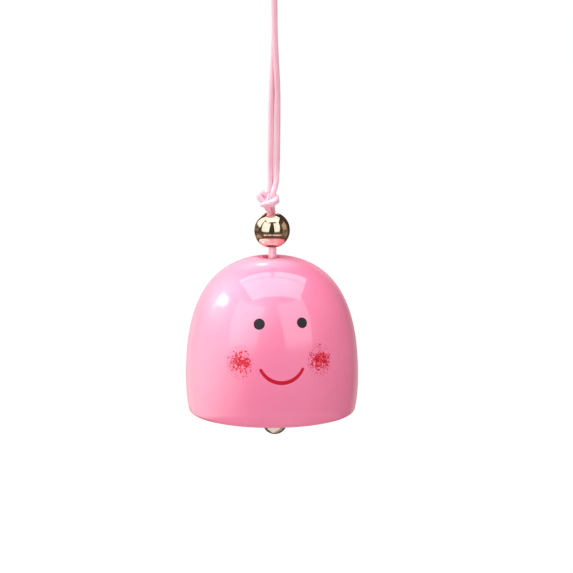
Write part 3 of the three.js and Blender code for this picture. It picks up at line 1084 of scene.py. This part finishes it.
def makeBell():
    # the outline of the wall's outer side, spun round the axis and thickened inwards
    radius, belly = bell["radius"], -bell["bellyDepth"]
    lean = math.atan2(bell["mouthLean"], bell["mouthReach"])
    halfWall = bell["wall"] / 2
    endZ = -bell["height"] + halfWall * (1 - math.sin(lean))
    bpy.ops.curve.primitive_bezier_curve_add(location=(0, 0, 0))
    outline = bpy.context.object
    outline.data.resolution_u = 30
    spline = outline.data.splines[0]
    spline.bezier_points.add(1)
    bends = [  # each point of the outline with its two handles
        ((0, 0), (-1, 0), (bell["crownReach"], 0)),
        ((radius, belly), (radius, bell["shoulderReach"] + belly), (radius, belly - bell["skirtReach"])),
        ((bell["mouthRadius"], endZ), (bell["mouthRadius"] + bell["mouthLean"], endZ + bell["mouthReach"]),
         (bell["mouthRadius"], endZ - 1)),
    ]
    for bend, places in zip(spline.bezier_points, bends):
        bend.handle_left_type = bend.handle_right_type = "FREE"
        bend.co, bend.handle_left, bend.handle_right = (
            Vector((out, 0, bell["crown"] + height)) * mm for out, height in places)
    bpy.ops.object.convert(target="MESH")
    piece = nameNew("bellShell")

    openForEditing(piece)
    low = min(piece.data.vertices, key=lambda vert: vert.co.z).index
    pick(piece, "verts", lambda vert: vert.index == low)
    drop = Vector((-math.sin(lean), 0, -math.cos(lean))) * halfWall * mm
    bpy.ops.mesh.extrude_region_move(TRANSFORM_OT_translate={"value": drop})
    bpy.ops.mesh.select_all(action="SELECT")
    bpy.ops.mesh.bisect(plane_co=(bell["holeRadius"] * mm, 0, 0), plane_no=(1, 0, 0), clear_inner=True)
    bpy.ops.mesh.select_all(action="SELECT")
    bpy.ops.mesh.spin(steps=bell["turns"], angle=2 * math.pi, center=(0, 0, 0), axis=(0, 0, 1))
    bpy.ops.mesh.select_all(action="SELECT")
    bpy.ops.mesh.remove_doubles(threshold=0.00001)
    turnOutward()
    closeEditing()
    side = max(piece.data.polygons, key=lambda polygon: reach(polygon.center))
    if side.normal.xy.dot(side.center.xy) < 0:
        flipFaces(piece)

    for material in (makeEnamel(), makeInside()):
        piece.data.materials.append(material)
    wall = piece.modifiers.new("wall", "SOLIDIFY")
    wall.thickness = bell["wall"] * mm
    wall.offset = -1
    wall.use_even_offset = True
    wall.material_offset = 1
    wall.material_offset_rim = 0
    applyAll(piece)

    # the corners of the lip and of the hole, both outside and inside
    openForEditing(piece)
    pick(piece, "edges", lambda edge: isSharp(edge, 50) and isLevel(edge)
         and middle(edge).z < (mouthHeight + 1.6) * mm)
    bpy.ops.mesh.bevel(offset=bell["lipRound"] * halfWall * mm, segments=bell["roundSteps"], affect="EDGES")
    pick(piece, "edges", lambda edge: isSharp(edge, 50) and isLevel(edge)
         and middle(edge).z > (bell["crown"] - 1) * mm
         and reach(middle(edge)) < (bell["holeRadius"] + 0.2) * mm)
    bpy.ops.mesh.bevel(offset=bell["holeRound"] * mm, segments=bell["roundSteps"], affect="EDGES")
    closeEditing()
    smooth(piece, 35)
    return piece


bellShell = makeBell()
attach(bellShell, "bell")
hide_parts("bell_shell")
print("bell spun, hollowed and painted")


stopper = {
    "washerTop": -85.45,
    "washerRadius": 4.5,
    "washerBore": 1.8,
    "washerThickness": 1,
    "washerEdge": 0.12,
    "knot": -88.45,
    "knotTurn": 1.68,  # how far out the cord's middle goes in the knot
    "knotRise": 0.82,
    "knotStart": 0.3,
    "knotSteps": 24,
    "feed": [(0.15, -0.68, -85.6), (0.14, -0.66, -86.6), (0.3, -0.5, -87.8), (0.2, -0.2, -89.2)],
    "feedThickness": 0.98,
}


def makeWasher():
    bpy.ops.mesh.primitive_circle_add(
        vertices=64, radius=stopper["washerRadius"] * mm, fill_type="NOTHING",
        location=(0, 0, stopper["washerTop"] * mm))
    piece = nameNew("stopperWasher")
    applyAll(piece)
    openForEditing(piece)
    bpy.ops.mesh.select_all(action="SELECT")
    bpy.ops.mesh.extrude_edges_move()
    bore = stopper["washerBore"] / stopper["washerRadius"]
    bpy.ops.transform.resize(value=(bore, bore, 1), center_override=(0, 0, 0))
    turnOutward()
    closeEditing()
    if piece.data.polygons[0].normal.z < 0:
        flipFaces(piece)
    plate = piece.modifiers.new("plate", "SOLIDIFY")
    plate.thickness = stopper["washerThickness"] * mm
    plate.offset = -1
    edges = piece.modifiers.new("stampedEdges", "BEVEL")
    edges.width = stopper["washerEdge"] * mm
    edges.segments = 3
    edges.limit_method = "ANGLE"
    edges.angle_limit = math.radians(50)
    applyAll(piece)
    smooth(piece, 35)
    piece.data.materials.append(steelFinish)
    return piece


stopperWasher = makeWasher()
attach(stopperWasher, "seat")
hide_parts("stopper_washer")


def tieStopper():
    # an overhand knot pulled tight, fed by the pair above
    points = []
    third = stopper["knotTurn"] / 3
    for step in range(stopper["knotSteps"] + 1):
        t = 2 * math.pi * step / stopper["knotSteps"] + stopper["knotStart"]
        points.append((
            third * (math.sin(t) + 2 * math.sin(2 * t)), third * (math.cos(t) - 2 * math.cos(2 * t)),
            stopper["knot"] - stopper["knotRise"] * math.sin(3 * t)))
    strands = [layCord("stopperTurns", points, cordRadius, **tied)[0]]
    for side in (1, -1):
        feed = [(side * x, side * y, z) for x, y, z in stopper["feed"]]
        strands.append(layCord("stopperFeed", feed, cordRadius * stopper["feedThickness"], tied["step"])[0])
    return joinPieces("stopperKnot", strands)


stopperKnot = tieStopper()
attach(stopperKnot, "cord")
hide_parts("stopper_knot")
print("washer and stopper knot made")


clapper = {
    "side": 0.8,  # the tail hangs this far off the bell's axis
    "tail": [
        (0.1, 0.1, -89.3), (0.55, 0.05, -90.1), (0.8, 0, -91.1), (0.8, 0, -91.756), (0.8, 0, -95),
        (0.8, 0.03, -100), (0.8, -0.03, -106), (0.8, 0.02, -112), (0.8, 0, -118.7)],
    "tailThickness": 0.985,
    "knot": -120.65,
    "wraps": [(0, 1.0, 0.55, 0), (0.9, 0.98, -0.5, 0.4)],  # start, radius, tilt and where it tilts
    "wrapSteps": 18,
    "wrapThickness": 0.97,
    "link": 1.45,  # radius of the cord's link and of the eye
    "linkEnds": [(0.2, -0.1, 0.6), (0.45, -0.1, -0.4)],
    "eye": -124.45,
    "wire": 0.35,
    "shankRadius": 0.5,
    "shankGap": 0.3,
    "shankEdge": 0.1,
    "ball": -130.05,
    "ballRadius": 3.5,
    "ballRings": 54,
    "holeRings": 4,
    "holeDepth": 2.5,
}

clapperCord = layCord("clapperCord", clapper["tail"], cordRadius * clapper["tailThickness"])[0]
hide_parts("clapper_cord")
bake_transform(clapperCord)


def tieClapperKnot():
    # two wraps round the tail, and the link that it ends in
    side, height, link = clapper["side"], clapper["knot"], clapper["link"]
    strands = []
    for start, radius, tilt, phase in clapper["wraps"]:
        points = []
        for step in range(clapper["wrapSteps"] + 1):
            turn = 2 * math.pi * step / clapper["wrapSteps"] + start
            points.append((
                side + radius * math.cos(turn), radius * math.sin(turn),
                height + tilt * math.sin(turn + phase)))
        strands.append(layCord("wrap", points, cordRadius * clapper["wrapThickness"], **tied)[0])
    points = [(side - x, -y, height + z) for x, y, z in clapper["linkEnds"]]
    for degrees in range(-50, -311, -20):
        turn = math.radians(degrees)
        points.append((side + link * math.sin(turn), 0, clapper["eye"] + link + link * math.cos(turn)))
    points += [(side + x, y, height + z) for x, y, z in reversed(clapper["linkEnds"])]
    strands.append(layCord("link", points, cordRadius * clapper["tailThickness"], tied["step"])[0])
    return joinPieces("clapperKnot", strands)


clapperKnot = tieClapperKnot()
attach(clapperKnot, "clapper_line")
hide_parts("clapper_knot")


def makeEye():
    # a wire ring across the cord's link, on a shank that goes into the ball
    centre = Vector((clapper["side"], 0, clapper["eye"])) * mm
    bpy.ops.mesh.primitive_torus_add(
        location=centre, rotation=(0, math.radians(90), 0), major_segments=56, minor_segments=18,
        major_radius=clapper["link"] * mm, minor_radius=clapper["wire"] * mm)
    ring = nameNew("clapperEye")
    applyAll(ring)
    top = clapper["eye"] - clapper["link"]
    bottom = clapper["ball"] + clapper["ballRadius"] - clapper["holeDepth"] + clapper["shankGap"]
    bpy.ops.mesh.primitive_cylinder_add(
        vertices=28, radius=clapper["shankRadius"] * mm, depth=(top - bottom) * mm,
        location=(clapper["side"] * mm, 0, (top + bottom) / 2 * mm))
    shank = nameNew("shank")
    applyAll(shank)
    openForEditing(shank)
    pick(shank, "edges", isLevel)
    bpy.ops.mesh.bevel(offset=clapper["shankEdge"] * mm, segments=2, affect="EDGES")
    closeEditing()
    piece = joinPieces("clapperEye", [ring, shank])
    smooth(piece)
    piece.data.materials.clear()
    piece.data.materials.append(steelFinish)
    return piece


clapperEye = makeEye()
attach(clapperEye, "clapper")
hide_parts("clapper_eye")


def makeBall():
    # the ball's top pole is sunk into a hole for the shank
    centre = Vector((clapper["side"], 0, clapper["ball"])) * mm
    bpy.ops.mesh.primitive_uv_sphere_add(
        segments=72, ring_count=clapper["ballRings"], radius=clapper["ballRadius"] * mm, location=centre)
    piece = nameNew("clapperBall")
    applyAll(piece)
    openForEditing(piece)
    cut = math.radians(clapper["holeRings"] * 180 / clapper["ballRings"] - 1)
    pick(piece, "verts", lambda vert: vert.co.z - centre.z > clapper["ballRadius"] * mm * math.cos(cut))
    bpy.ops.mesh.delete(type="VERT")
    pick(piece, "edges", lambda edge: edge.is_boundary)
    for drop, shrink in ((0.1, 0.92), (clapper["holeDepth"] - 0.2, 1)):
        bpy.ops.mesh.extrude_region_move(TRANSFORM_OT_translate={"value": (0, 0, -drop * mm)})
        bpy.ops.transform.resize(value=(shrink, shrink, 1), center_override=(centre.x, 0, 0))
    bpy.ops.mesh.edge_face_add()
    turnOutward()
    closeEditing()
    smooth(piece)
    piece.data.materials.append(ballFinish)
    return piece


clapperBall = makeBall()
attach(clapperBall, "clapper")
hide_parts("clapper_ball")
print("clapper hung")

for piece in (hangingCord, topKnot, throughCord, bellShell, stopperKnot, clapperCord, clapperKnot):
    enamelPieces.objects.link(piece)
for piece in (goldBead, stopperWasher, clapperEye, clapperBall):
    metalPieces.objects.link(piece)
